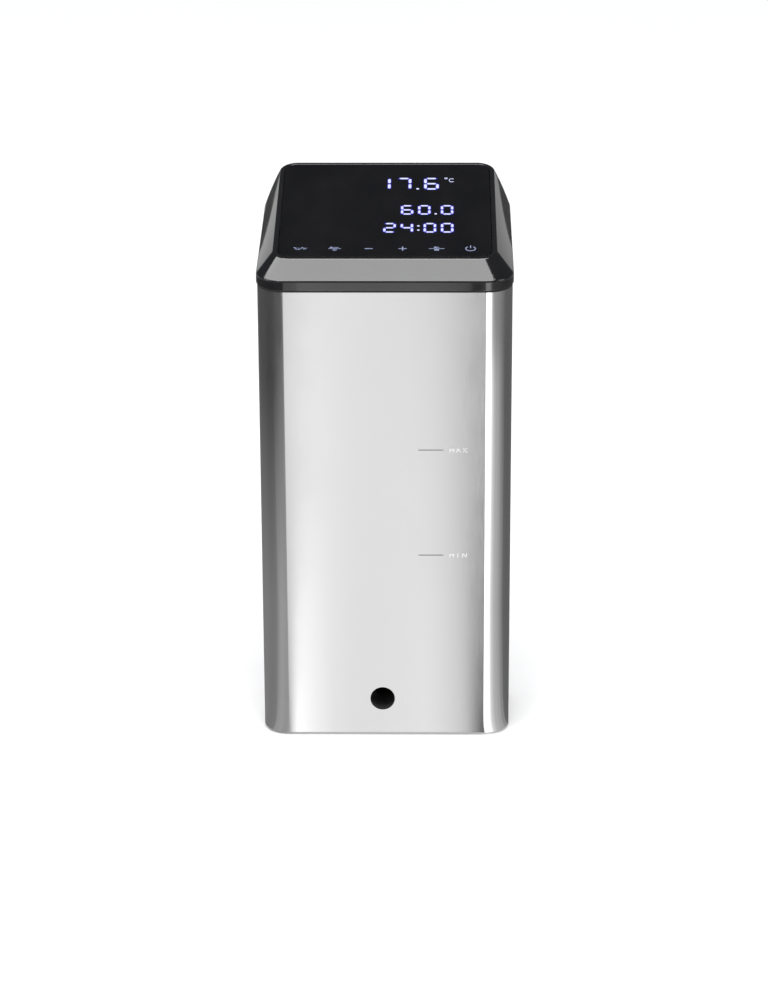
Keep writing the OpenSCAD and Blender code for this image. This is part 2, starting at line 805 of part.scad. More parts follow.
module outlet_nozzle() {
  start = y_inner_front + slip;
  color("#3a3a3c") difference() {
    union() {
      translate([outlet_x, start, z_outlet]) bar_y(outlet_r + 4.5, 2);
      translate([outlet_x, start, z_outlet]) bar_y(outlet_r + stub_wall, stub_end - touch - start);
    }
    translate([outlet_x, start - 1, z_outlet]) bar_y(outlet_r, 20);
  }
}

// ---- drive train ----

module drive_shaft() {
  color("silver") at_shaft(z_chamber - 1) cylinder(r = shaft_r, h = z_joint - 0.1 - (z_chamber - 1));
}

module motor_shaft() {
  color("silver") at_shaft(z_joint + 0.1) cylinder(r = shaft_r, h = shaft_top - z_joint - 0.1);
}

module coupling() {
  color("silver") at_shaft(z_joint - 9) difference() {
    cylinder(r = 7, h = 18);
    translate([0, 0, -1]) cylinder(r = shaft_r + 0.02, h = 20);
    for (z = [4.5, 13.5]) translate([shaft_r, 0, z]) rotate([0, 90, 0]) cylinder(r = 1.5, h = 9);
  }
}

module impeller() {
  disc_t = 1.6;
  blade_h = 9;
  blades = 6;
  color("#e4e0d4") at_shaft(z_outlet - (disc_t + blade_h) / 2) difference() {
    union() {
      translate([0, 0, blade_h]) cylinder(r = impeller_r, h = disc_t);
      cylinder(r = 5.5, h = blade_h + disc_t);
      for (i = [0:blades - 1]) rotate(i * 360 / blades)
        translate([3, 2, 0]) cube([impeller_r - 4, 1.6, blade_h + 0.1]);
    }
    translate([0, 0, -1]) cylinder(r = shaft_r + 0.02, h = 20);
  }
}

module impeller_nut() {
  color("silver") at_shaft(z_outlet - 5.3 - 2.2) hex_nut(8, shaft_r + 0.02, 2.1);
}

module motor_rotor() {
  color("#8a8a8c") at_shaft(z_dry + 12) difference() {
    cylinder(r = 16, h = 20);
    translate([0, 0, -1]) cylinder(r = shaft_r + 0.02, h = 22);
    for (i = [0:11]) rotate(i * 30) translate([13.5, 0, -1]) cylinder(r = 1.2, h = 22);
  }
}

module cooling_fan() {
  blades = 7;
  color("#26262a") at_shaft(fan_z) difference() {
    union() {
      cylinder(r = 6, h = 9);
      for (i = [0:blades - 1]) rotate(i * 360 / blades)
        translate([4.5, 0, 4.5]) rotate([35, 0, 0]) translate([0, -5.5, -0.7]) cube([19, 11, 1.4]);
    }
    translate([0, 0, -1]) cylinder(r = shaft_r + 0.02, h = 11);
    translate([0, 0, -5]) difference() {
      cylinder(r = 40, h = 20);
      translate([0, 0, -1]) cylinder(r = 22.5, h = 22);
    }
  }
}

// ---- motor ----

module motor_case() {
  color("#6a6c70") at_shaft(z_dry + touch) difference() {
    cylinder(r = motor_r, h = motor_h);
    difference() {
      translate([0, 0, 2]) cylinder(r = motor_r - 2, h = motor_h);
      cylinder(r = bearing_r + 2, h = 2 + bearing_w);
    }
    translate([0, 0, 2]) cylinder(r = bearing_r + touch, h = motor_h);
    translate([0, 0, -1]) cylinder(r = 6, h = 5);
    translate([0, 0, -1]) at_motor_screws() cylinder(r = 1.65, h = 4);
    // air slots round the top
    for (i = [0:11]) rotate(i * 30) translate([motor_r - 4, -1.5, motor_h - 9]) cube([6, 3, 6]);
  }
}

module motor_cover() {
  color("#6a6c70") at_shaft(z_dry + motor_h + 2 * touch) difference() {
    union() {
      cylinder(r = motor_r, h = 2.5);
      translate([0, 0, -bearing_w - 1]) cylinder(r = bearing_r + 2, h = bearing_w + 2);
    }
    translate([0, 0, -bearing_w - 2]) cylinder(r = bearing_r + touch, h = bearing_w + 2);
    translate([0, 0, -1]) cylinder(r = 6, h = 5);
    for (i = [0:5]) rotate(i * 60 + 30) translate([17, 0, -1]) cylinder(r = 3, h = 5);
  }
}

module motor_stator() {
  color("#a0a2a6") at_shaft(z_dry + 12) ring(motor_r - 2.1, 16.4, 20);
  color("peru") at_shaft(z_dry + 8.5) ring(motor_r - 3, 17.5, 3.4);
  color("peru") at_shaft(z_dry + 32.1) ring(motor_r - 3, 17.5, 2.6);
}

module bearings() {
  seats = [z_dry + 2 + 2 * touch, z_dry + motor_h - bearing_w - 0.2];
  color("silver") for (z = seats) at_shaft(z) difference() {
    cylinder(r = bearing_r, h = bearing_w - 0.1);
    translate([0, 0, -1]) cylinder(r = shaft_r + running, h = bearing_w + 2);
    for (side = [-0.6, bearing_w - 0.7]) translate([0, 0, side]) ring(7.6, 5, 1.2);
  }
}

module motor_screws() {
  color("silver") at_shaft(z_bulk - touch) at_motor_screws() pan_screw(2.9, 1.9, 1.6, bulk_t + 2.2);
}

// ---- heaters and probes ----

// Half ring of heater tube in the xz plane, opening upwards or downwards
module heater_bend(up) {
  rotate([up ? 90 : -90, 0, 0]) rotate_extrude(angle = 180) translate([bend_r, 0]) circle(heater_r);
}

// Tube that goes down and up the given number of legs, both ends through the bulkhead
module heater(x0, legs) {
  top = z_dry + 10;
  upper = z_bulk - 26;
  for (i = [0:legs - 1]) {
    outside = i == 0 || i == legs - 1;
    translate([x0 + 2 * bend_r * i, y_mid, heater_bottom])
      cylinder(r = heater_r, h = (outside ? top : upper) - heater_bottom);
  }
  for (i = [0:legs - 2])
    translate([x0 + 2 * bend_r * (i + 0.5), y_mid, i % 2 == 0 ? heater_bottom : upper])
      heater_bend(i % 2 == 1);
}

module long_heater() {
  color("#b8b4a8") heater(long_heater_x, 4);
}

module short_heater() {
  color("#b8b4a8") heater(short_heater_x, 2);
}

module heater_fittings() {
  color("silver") for (x = heater_ends) translate([x, y_mid, 0]) {
    translate([0, 0, z_bulk - 2 - touch]) ring(6.3, heater_r + 0.02, 2);
    translate([0, 0, z_bulk - touch]) ring(heater_r + 1, heater_r + 0.02, bulk_t + 2 * touch);
    translate([0, 0, z_dry + touch]) hex_nut(12, heater_r + 0.02, 4);
  }
}

module temperature_probe() {
  color("silver") translate([temp_at[0], temp_at[1], z_base + 48]) {
    cylinder(r = 2, h = z_dry + 10 - z_base - 48);
    sphere(2);
  }
}

module level_probes() {
  color("silver") for (i = [0, 1])
    translate([level_at[i][0], level_at[i][1], z_base + min_h - i * 12])
      cylinder(r = 1.5, h = z_dry + 12 - z_base - min_h + i * 12);
}

// Insulating bushes of the three probes, one with a wider bore
module probe_bushes() {
  places = [[temp_at, 2], [level_at[0], 1.5], [level_at[1], 1.5]];
  color("#e4e0d4") for (p = places) translate([p[0][0], p[0][1], z_bulk - 4]) difference() {
    union() {
      cylinder(r = 4, h = bulk_t + 8);
      cylinder(r = 5.5, h = 4 - touch);
      translate([0, 0, 4 + bulk_t + touch]) cylinder(r = 5.5, h = 3);
    }
    translate([0, 0, -1]) cylinder(r = p[1] + 0.02, h = 20);
  }
}

// ---- power electronics ----

module heat_sink() {
  fins = 6;
  fin_pitch = 5;
  h = board_z[1] - board_z[0];
  color("#9a9ca0") {
    translate([flange_x, y_sink - sink_t, board_z[0]]) cube([fins * fin_pitch, sink_t, h]);
    for (i = [0:fins - 1]) translate([flange_x + i * fin_pitch, y_sink - sink_t - 3.5, board_z[0]])
      cube([1.5, 4, h]);
  }
}

module power_board() {
  color("darkgreen") difference() {
    translate([board_x[0], y_board - pcb_t, board_z[0]])
      cube([board_x[1] - board_x[0], pcb_t, board_z[1] - board_z[0]]);
    for (x = [board_x[0] + 4, board_x[1] - 4], z = [board_z[0] + 4, board_z[1] - 4])
      translate([x, y_board - pcb_t - 1, z]) bar_y(1.6, pcb_t + 2);
  }
}

// Relay, capacitors, terminal block and triac on the power board
module power_parts() {
  color("royalblue") translate([board_x[0] + 3, y_parts - 15, board_z[0] + 39]) cube([20, 15, 9]);
  color("#303048") for (x = [10, 22])
    translate([board_x[1] - x + 1, y_parts, board_z[0] + 43]) rotate([90, 0, 0]) cylinder(r = 5, h = 16);
  color("seagreen") translate([board_x[1] - 38, y_parts - 10, board_z[0] + 2]) difference() {
    cube([30, 10, 9]);
    for (i = [0:4]) translate([3 + i * 6, 5, 4]) cylinder(r = 1.8, h = 9);
  }
  color("#202020") translate([board_x[1] - 11, y_parts - 5, board_z[0] + 18]) cube([8, 5, 14]);
}

module transformer() {
  x = board_x[0] + 4;
  z = board_z[0] + 12;
  color("#4a4a50") difference() {
    translate([x, y_parts - 24, z]) cube([30, 24, 25]);
    translate([x + 8, y_parts - 25, z + 5]) cube([14, 5, 15]);
  }
  color("peru") translate([x + 8.2, y_parts - 23.5, z + 5.2]) cube([13.6, 3.2, 14.6]);
}

sleeve();
base_plate();
base_lugs();
base_screws();
sleeve_gasket();
sleeve_screws();
head_base();
head_cap();
head_screws();
touch_glass();
glass_bond();
display_digits();
key_marks();
display_board();
display_module();
sounder();
board_screws();
cord_gland();
gland_cap();
gland_seal();
gland_nut();
clamp_bracket();
bracket_screws();
wall_strip();
clamp_nut();
clamp_pad();
clamp_cup();
clamp_screw();
clamp_knob();
bulkhead();
bulkhead_seal();
shaft_seal();
support_rods();
rod_nuts();
pump_cover();
lower_bush();
pump_housing();
outlet_nozzle();
drive_shaft();
coupling();
motor_shaft();
impeller();
impeller_nut();
motor_rotor();
cooling_fan();
motor_case();
motor_cover();
motor_stator();
bearings();
motor_screws();
long_heater();
short_heater();
heater_fittings();
temperature_probe();
level_probes();
probe_bushes();
heat_sink();
power_board();
power_parts();
transformer();
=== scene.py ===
"""Looks of the sous vide circulator: materials, finer pieces, studio and camera.

Metres, in the CAD's own frame.
"""

import math

import bmesh
import bpy
from mathutils import Matrix, Vector

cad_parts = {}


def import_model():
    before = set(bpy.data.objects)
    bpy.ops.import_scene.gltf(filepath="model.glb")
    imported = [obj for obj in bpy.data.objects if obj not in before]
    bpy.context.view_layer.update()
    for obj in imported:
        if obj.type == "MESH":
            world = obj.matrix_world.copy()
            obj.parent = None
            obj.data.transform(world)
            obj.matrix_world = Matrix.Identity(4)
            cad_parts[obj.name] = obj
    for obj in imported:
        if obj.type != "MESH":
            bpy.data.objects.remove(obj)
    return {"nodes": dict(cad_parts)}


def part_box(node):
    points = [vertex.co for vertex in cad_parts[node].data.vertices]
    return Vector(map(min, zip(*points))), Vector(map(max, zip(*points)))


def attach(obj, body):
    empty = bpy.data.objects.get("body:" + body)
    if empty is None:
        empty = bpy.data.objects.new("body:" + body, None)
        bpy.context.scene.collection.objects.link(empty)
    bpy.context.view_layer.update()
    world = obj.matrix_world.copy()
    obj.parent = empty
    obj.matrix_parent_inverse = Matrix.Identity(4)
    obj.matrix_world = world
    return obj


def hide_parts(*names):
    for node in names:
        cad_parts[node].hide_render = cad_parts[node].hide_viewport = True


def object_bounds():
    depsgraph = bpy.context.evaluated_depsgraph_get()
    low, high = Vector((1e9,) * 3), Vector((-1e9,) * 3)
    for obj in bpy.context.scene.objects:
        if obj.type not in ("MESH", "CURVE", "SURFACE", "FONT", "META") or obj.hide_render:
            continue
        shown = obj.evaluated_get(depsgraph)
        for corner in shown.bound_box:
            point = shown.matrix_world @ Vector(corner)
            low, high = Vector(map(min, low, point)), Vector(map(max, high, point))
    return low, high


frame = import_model()
cad_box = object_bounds()
NODES = frame["nodes"]
MM = 0.001

# ---- sizes that the finer pieces need, from the CAD's driving dimensions ----

SLEEVE_RADIUS = 14.5 * MM
LEVELS = {"MAX": 170.2 * MM, "MIN": 108.1 * MM}
HEAD_RADIUS = 15.6 * MM
HEAD_WALL = 2.4 * MM
BAND = 5.5 * MM
CHAMFER = 9.4 * MM
FLAT_RADIUS = 10 * MM
GLASS_RIM = 2.7 * MM
GLASS_GAP = 0.12 * MM
RECESS_DEPTH = 2.2 * MM
BASE_TILT = math.radians(3.0)
TOP_TILT = math.radians(9.5)
THREAD_PITCH = 2.0 * MM

head_low, head_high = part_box("head_cap")
sleeve_low, sleeve_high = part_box("sleeve")
HEAD_WIDTH = head_high.x - head_low.x
HEAD_DEPTH = head_high.y - head_low.y


def seam_height(y):
    """Height of the head's lower edge at y."""
    return head_low.z + (y - head_low.y) * math.tan(BASE_TILT)


def top_height(y):
    """Height of the head's top plane at y."""
    return head_high.z - (head_high.y - CHAMFER - y) * math.tan(TOP_TILT)


TOP_UP = Vector((0, -math.sin(TOP_TILT), math.cos(TOP_TILT)))
TOP_BACK = Vector((0, math.cos(TOP_TILT), math.sin(TOP_TILT)))


# ---- materials ----


class Material:
    """A node material with short helpers. Textures read object coordinates, in metres."""

    def __init__(self, name):
        self.data = bpy.data.materials.new(name)
        self.data.use_nodes = True
        self.tree = self.data.node_tree
        self.tree.nodes.clear()
        self.output = self.add("ShaderNodeOutputMaterial")
        self.coordinates = self.add("ShaderNodeTexCoord").outputs["Object"]

    def add(self, kind, **values):
        node = self.tree.nodes.new(kind)
        for key, value in values.items():
            setattr(node, key, value)
        return node

    def link(self, source, target):
        self.tree.links.new(source, target)

    def principled(self, **values):
        """The surface shader, with constants set on its own sockets."""
        shader = self.add("ShaderNodeBsdfPrincipled")
        for key, value in values.items():
            shader.inputs[key.replace("_", " ")].default_value = value
        self.link(shader.outputs[0], self.output.inputs["Surface"])
        return shader

    def stretched(self, stretch):
        """Object coordinates scaled by axis."""
        mapping = self.add("ShaderNodeMapping")
        mapping.inputs["Scale"].default_value = stretch
        self.link(self.coordinates, mapping.inputs["Vector"])
        return mapping.outputs[0]

    def noise(self, scale, detail=3.0, stretch=(1, 1, 1), roughness=0.5):
        """Noise from 0 to 1, mostly between 0.3 and 0.7."""
        node = self.add("ShaderNodeTexNoise")
        node.inputs["Scale"].default_value = scale
        node.inputs["Detail"].default_value = detail
        node.inputs["Roughness"].default_value = roughness
        self.link(self.stretched(stretch), node.inputs["Vector"])
        return node.outputs["Fac"]

    def ramp(self, value, stops):
        """Colour ramp through (position, colour or grey) stops."""
        node = self.add("ShaderNodeValToRGB")
        elements = node.color_ramp.elements
        while len(elements) < len(stops):
            elements.new(0.5)
        for element, (position, colour) in zip(elements, stops):
            grey = (colour, colour, colour) if isinstance(colour, float) else colour
            element.position = position
            element.color = (*grey, 1.0)
        self.link(value, node.inputs["Fac"])
        return node.outputs["Color"]

    def between(self, value, low, high, start=0.3, end=0.7):
        """Value, from start to end, mapped to low to high."""
        node = self.add("ShaderNodeMapRange")
        for key, number in (("From Min", start), ("From Max", end), ("To Min", low), ("To Max", high)):
            node.inputs[key].default_value = number
        self.link(value, node.inputs["Value"])
        return node.outputs[0]

    def multiply(self, a, b):
        """Product of two values."""
        node = self.add("ShaderNodeMath", operation="MULTIPLY")
        self.link(a, node.inputs[0])
        self.link(b, node.inputs[1])
        return node.outputs[0]

    def bump(self, shader, height, distance, strength):
        """Relief of a height in metres on the shader's normal."""
        node = self.add("ShaderNodeBump")
        node.inputs["Strength"].default_value = strength
        node.inputs["Distance"].default_value = distance
        self.link(height, node.inputs["Height"])
        self.link(node.outputs[0], shader.inputs["Normal"])


def brushed_steel(name, grain, light=0.78, rough=0.13):
    """Steel with fine scratches along grain (0, 1 or 2 for x, y or z) and faint cloudy wear."""
    m = Material(name)
    shader = m.principled(Metallic=1.0, Specular_Tint=(1, 1, 1, 1))
    stretch = [1.0, 1.0, 1.0]
    stretch[grain] = 0.012
    lines = m.noise(5200, stretch=stretch)
    clouds = m.noise(26)
    m.link(m.ramp(lines, [(0.25, light * 0.955), (0.75, light)]), shader.inputs["Base Color"])
    fine = m.between(lines, rough - 0.02, rough + 0.03)
    m.link(m.multiply(fine, m.between(clouds, 0.92, 1.12)), shader.inputs["Roughness"])
    m.bump(shader, lines, 0.002 * MM, strength=0.35)
    return m.data


def polished_steel(name, light=0.8, rough=0.14):
    """Turned or drawn steel with fine specks."""
    m = Material(name)
    shader = m.principled(Metallic=1.0)
    specks = m.noise(900, detail=4)
    m.link(m.ramp(specks, [(0.3, light * 0.92), (0.7, light)]), shader.inputs["Base Color"])
    m.link(m.between(specks, rough * 0.7, rough * 1.5), shader.inputs["Roughness"])
    m.bump(shader, m.noise(2500, detail=2), 0.006 * MM, strength=0.4)
    return m.data


def gloss_black(name):
    """Polished moulded plastic: a trace of orange peel and handling marks."""
    m = Material(name)
    shader = m.principled(Specular_IOR_Level=0.75, Coat_Weight=0.5, Coat_Roughness=0.03)
    marks = m.noise(60, detail=4, roughness=0.6)
    m.link(m.ramp(marks, [(0.3, (0.006, 0.006, 0.007)), (0.8, (0.010, 0.010, 0.011))]),
           shader.inputs["Base Color"])
    m.link(m.between(marks, 0.07, 0.13), shader.inputs["Roughness"])
    m.bump(shader, m.noise(420, detail=1), 0.01 * MM, strength=0.25)
    return m.data


def panel_glass(name):
    """Black tinted glass with faint finger smears."""
    m = Material(name)
    shader = m.principled(Specular_IOR_Level=0.5)
    smears = m.noise(38, detail=5, stretch=(1.0, 0.45, 1.0), roughness=0.65)
    dust = m.noise(2600, detail=2)
    m.link(m.ramp(smears, [(0.35, (0.0035, 0.0035, 0.0045)), (0.75, (0.0075, 0.0072, 0.0085))]),
           shader.inputs["Base Color"])
    m.link(m.multiply(m.between(smears, 0.035, 0.085), m.between(dust, 0.9, 1.15)),
           shader.inputs["Roughness"])
    return m.data


def matte_plastic(name, colour=(0.022, 0.022, 0.024), rough=0.48, grain=3800, depth=0.03 * MM):
    """Moulded plastic with a fine spark-eroded texture."""
    m = Material(name)
    shader = m.principled(Specular_IOR_Level=0.45)
    texture = m.noise(grain, roughness=0.6)
    tone = m.noise(70)
    darker = tuple(c * 0.85 for c in colour)
    m.link(m.ramp(tone, [(0.3, darker), (0.7, colour)]), shader.inputs["Base Color"])
    m.link(m.between(texture, rough - 0.06, rough + 0.08), shader.inputs["Roughness"])
    m.bump(shader, texture, depth, strength=0.6)
    return m.data


def rubber(name):
    """Matt black rubber with a fine grain and a little dust."""
    m = Material(name)
    shader = m.principled(Specular_IOR_Level=0.3)
    texture = m.noise(2400, detail=4, roughness=0.65)
    dust = m.noise(180, detail=4)
    m.link(m.ramp(dust, [(0.35, (0.016, 0.016, 0.016)), (0.75, (0.034, 0.033, 0.032))]),
           shader.inputs["Base Color"])
    m.link(m.between(texture, 0.66, 0.82), shader.inputs["Roughness"])
    m.bump(shader, texture, 0.06 * MM, strength=0.6)
    return m.data


def circuit_board(name):
    """Green solder mask over a faint pattern of tracks."""
    m = Material(name)
    shader = m.principled(Specular_IOR_Level=0.5)
    cells = m.add("ShaderNodeTexBrick", offset=0.3)
    cells.inputs["Scale"].default_value = 160
    cells.inputs["Mortar Size"].default_value = 0.018
    cells.inputs["Color1"].default_value = (0.010, 0.085, 0.030, 1)
    cells.inputs["Color2"].default_value = (0.012, 0.110, 0.040, 1)
    cells.inputs["Mortar"].default_value = (0.030, 0.210, 0.080, 1)
    m.link(m.stretched((1, 1, 1)), cells.inputs["Vector"])
    m.link(cells.outputs["Color"], shader.inputs["Base Color"])
    m.link(m.between(m.noise(300), 0.28, 0.42), shader.inputs["Roughness"])
    m.bump(shader, cells.outputs["Fac"], 0.03 * MM, strength=0.5)
    return m.data


def laminated_steel(name):
    """Stacked thin sheets, seen as fine level bands."""
    m = Material(name)
    shader = m.principled(Metallic=0.85)
    bands = m.add("ShaderNodeTexWave", bands_direction="Z")
    bands.inputs["Scale"].default_value = 320
    bands.inputs["Distortion"].default_value = 0.6
    m.link(m.stretched((1, 1, 1)), bands.inputs["Vector"])
    m.link(m.ramp(bands.outputs["Fac"], [(0.2, 0.20), (0.8, 0.36)]), shader.inputs["Base Color"])
    m.link(m.between(m.noise(500), 0.38, 0.58), shader.inputs["Roughness"])
    m.bump(shader, bands.outputs["Fac"], 0.05 * MM, strength=0.6)
    return m.data


def heater_sheath(name):
    """Drawn steel tube with straw and grey heat tint."""
    m = Material(name)
    shader = m.principled(Metallic=1.0)
    tint = m.noise(34, detail=4)
    grey, straw, dark = (0.50, 0.47, 0.42), (0.60, 0.55, 0.44), (0.42, 0.40, 0.40)
    m.link(m.ramp(tint, [(0.3, grey), (0.55, straw), (0.8, dark)]), shader.inputs["Base Color"])
    m.link(m.between(m.noise(1200, stretch=(1, 1, 0.05)), 0.28, 0.45), shader.inputs["Roughness"])
    m.bump(shader, m.noise(3000), 0.01 * MM, strength=0.4)
    return m.data


def lamp(name, colour, strength):
    """Lit marks: even lamps whose light wavers a little from place to place."""
    m = Material(name)
    shader = m.principled(Roughness=0.4)
    shader.inputs["Emission Strength"].default_value = strength
    tone = m.noise(700, detail=2)
    dim = tuple(c * 0.86 for c in colour)
    m.link(m.ramp(tone, [(0.35, dim), (0.65, colour)]), shader.inputs["Emission Color"])
    m.link(m.ramp(tone, [(0.35, 0.03), (0.65, 0.05)]), shader.inputs["Base Color"])
    return m.data


def glow(name, colour, strength):
    """Light that leaks round the lit bars: full at the bar, nothing at the skirt's edge."""
    m = Material(name)
    amount = m.add("ShaderNodeAttribute", attribute_name="glow").outputs["Fac"]
    clear = m.add("ShaderNodeBsdfTransparent")
    light = m.add("ShaderNodeEmission")
    light.inputs["Color"].default_value = (*colour, 1)
    wavering = m.between(m.noise(500, detail=2), strength * 0.85, strength)
    m.link(m.multiply(m.multiply(amount, amount), wavering), light.inputs["Strength"])
    both = m.add("ShaderNodeAddShader")
    m.link(clear.outputs[0], both.inputs[0])
    m.link(light.outputs[0], both.inputs[1])
    m.link(both.outputs[0], m.output.inputs["Surface"])
    return m.data


def etched_mark(name, light, metallic):
    """Laser-etched line in the steel: duller than the metal round it."""
    m = Material(name)
    shader = m.principled(Metallic=metallic)
    texture = m.noise(6000)
    m.link(m.ramp(texture, [(0.3, light * 0.85), (0.7, light)]), shader.inputs["Base Color"])
    m.link(m.between(texture, 0.5, 0.68), shader.inputs["Roughness"])
    return m.data


sleeve_steel = brushed_steel("sleeve_steel", grain=2)
folded_steel = brushed_steel("folded_steel", grain=0, light=0.72, rough=0.26)
bright_steel = polished_steel("bright_steel")
head_plastic = gloss_black("head_plastic")
glass = panel_glass("glass")
black_plastic = matte_plastic("black_plastic")
knob_plastic = matte_plastic("knob_plastic", (0.018, 0.018, 0.019), rough=0.42, grain=5200, depth=0.02 * MM)
pale_resin = matte_plastic("pale_resin", (0.62, 0.58, 0.48), rough=0.45, grain=3000, depth=0.01 * MM)
dark_resin = matte_plastic("dark_resin", (0.05, 0.05, 0.052), rough=0.5, grain=2600, depth=0.02 * MM)
black_rubber = rubber("black_rubber")
board_green = circuit_board("board_green")
laminations = laminated_steel("laminations")
zinc = brushed_steel("zinc", grain=2, light=0.5, rough=0.36)
aluminium = brushed_steel("aluminium", grain=2, light=0.7, rough=0.3)
heater_steel = heater_sheath("heater_steel")
digit_lamps = lamp("digit_lamps", (0.66, 0.70, 1.0), strength=1.25)
key_lamps = lamp("key_lamps", (0.36, 0.42, 0.68), strength=0.75)
digit_glow = glow("digit_glow", (0.10, 0.07, 0.95), strength=0.85)
etched_words = etched_mark("etched_words", light=0.92, metallic=0.35)
# The level lines are etched steel, darkened further as painted shade of their grooves.
etched_line_painted_shade = etched_mark("etched_line_painted_shade", light=0.38, metallic=0.9)

MATERIAL_OF = {
    "sleeve": sleeve_steel,
    "base_plate": folded_steel,
    "base_lugs": folded_steel,
    "clamp_bracket": folded_steel,
    "bulkhead": folded_steel,
    "pump_cover": folded_steel,
    "clamp_cup": bright_steel,
    "touch_glass": glass,
    "head_cap": head_plastic,
    "display_digits": digit_lamps,
    "key_marks": key_lamps,
    "head_base": black_plastic,
    "cord_gland": black_plastic,
    "gland_cap": black_plastic,
    "gland_nut": black_plastic,
    "clamp_knob": knob_plastic,
    "glass_bond": black_rubber,
    "sleeve_gasket": black_rubber,
    "gland_seal": black_rubber,
    "wall_strip": black_rubber,
    "clamp_pad": black_rubber,
    "bulkhead_seal": black_rubber,
    "shaft_seal": black_rubber,
    "display_board": board_green,
    "power_board": board_green,
    "display_module": dark_resin,
    "sounder": dark_resin,
    "power_parts": dark_resin,
    "impeller": pale_resin,
    "lower_bush": pale_resin,
    "probe_bushes": pale_resin,
    "pump_housing": dark_resin,
    "outlet_nozzle": dark_resin,
    "cooling_fan": dark_resin,
    "motor_case": zinc,
    "motor_cover": zinc,
    "motor_stator": laminations,
    "motor_rotor": laminations,
    "transformer": laminations,
    "long_heater": heater_steel,
    "short_heater": heater_steel,
    "heat_sink": aluminium,
}

for node_name, node in NODES.items():
    node.data.materials.clear()
    node.data.materials.append(MATERIAL_OF.get(node_name, bright_steel))


# ---- mesh helpers ----


def make_piece(name, vertices, faces, material, body, smooth=True):
    """A mesh piece that rides on a body."""
    mesh = bpy.data.meshes.new(name)
    mesh.from_pydata([tuple(v) for v in vertices], [], faces)
    mesh.materials.append(material)
    for polygon in mesh.polygons:
        polygon.use_smooth = smooth
    mesh.update()
    piece = bpy.data.objects.new(name, mesh)
    bpy.context.scene.collection.objects.link(piece)
    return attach(piece, body)


def soften(piece, width, segments=3, angle=25):
    """Rounds a piece's edges with modifiers, leaving its mesh as it is."""
    weld = piece.modifiers.new("weld", "WELD")
    weld.merge_threshold = 0.002 * MM
    bevel = piece.modifiers.new("edges", "BEVEL")
    bevel.width = width
    bevel.segments = segments
    bevel.limit_method = "ANGLE"
    bevel.angle_limit = math.radians(angle)
    bevel.harden_normals = True
    bevel.use_clamp_overlap = True


def rounded_outline(width, depth, radius, steps, along=12):
    """Points round a rounded rectangle, centred: steps to each corner and along points on each side."""
    corners = []
    for quarter, (sign_x, sign_y) in enumerate(((1, 1), (-1, 1), (-1, -1), (1, -1))):
        centre_x = sign_x * (width / 2 - radius)
        centre_y = sign_y * (depth / 2 - radius)
        angles = [math.radians(90) * (quarter + i / steps) for i in range(steps + 1)]
        corners.append([(centre_x + radius * math.cos(a), centre_y + radius * math.sin(a)) for a in angles])
    points = []
    for quarter in range(4):
        points += corners[quarter]
        x0, y0 = corners[quarter][-1]
        x1, y1 = corners[(quarter + 1) % 4][0]
        for k in range(1, along):
            points.append((x0 + (x1 - x0) * k / along, y0 + (y1 - y0) * k / along))
    return points


def loft(rings):
    """Vertices and faces of a skin through closed rings with the same number of points."""
    count = len(rings[0])
    vertices = [point for ring in rings for point in ring]
    faces = []
    for level in range(len(rings) - 1):
        for i in range(count):
            j = (i + 1) % count
            a = level * count
            faces.append((a + i, a + j, a + count + j, a + count + i))
    return vertices, faces


# ---- head shell: the moulding's outer skin with finely rounded edges ----


def chamfer_height(share):
    """Height, as a function of y, of the chamfer at a share of its width. It swells towards the back."""
    swell = 1.1 * MM

    def height(y):
        back = (y - head_low.y) / HEAD_DEPTH
        edge = seam_height(y) + BAND
        return edge + (top_height(y) - edge) * share + 4 * share * (1 - share) * swell * back
    return height


def head_ring(inset, radius, height, lift=0.0):
    """Points round the head's outline at an inset, on a sloping plane given as a function of y."""
    middle = (head_low.y + head_high.y) / 2
    outline = rounded_outline(HEAD_WIDTH - 2 * inset, HEAD_DEPTH - 2 * inset, radius, 20)
    return [Vector((x, middle + y, height(middle + y) + lift)) for x, y in outline]


def chamfer_ring(share):
    """Points round the chamfer at a share of its width."""
    radius = HEAD_RADIUS + share * (FLAT_RADIUS - HEAD_RADIUS)
    return head_ring(share * CHAMFER, radius, chamfer_height(share))


def head_shell():
    """The skin, from inside its wall's foot, round the foot, up the band and the chamfer, to the recess."""
    inner_radius = HEAD_RADIUS - HEAD_WALL
    inner_lift = BAND - 1 * MM
    recess_inset = CHAMFER + GLASS_RIM - GLASS_GAP
    recess_radius = FLAT_RADIUS - GLASS_RIM + GLASS_GAP
    rings = [
        head_ring(HEAD_WALL, inner_radius, seam_height, inner_lift),
        head_ring(HEAD_WALL, inner_radius, seam_height),
        head_ring(0, HEAD_RADIUS, seam_height),
        head_ring(0, HEAD_RADIUS, seam_height, BAND),
        *[chamfer_ring(share) for share in (0.2, 0.4, 0.6, 0.8)],
        head_ring(CHAMFER, FLAT_RADIUS, top_height),
        head_ring(recess_inset, recess_radius, top_height),
        head_ring(recess_inset, recess_radius, top_height, -RECESS_DEPTH),
    ]
    vertices, faces = loft(rings)
    shell = make_piece("head_shell", vertices, faces, head_plastic, "housing")
    soften(shell, 0.7 * MM, segments=4, angle=22)
    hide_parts("head_cap")


# ---- clamp spindle with its thread ----


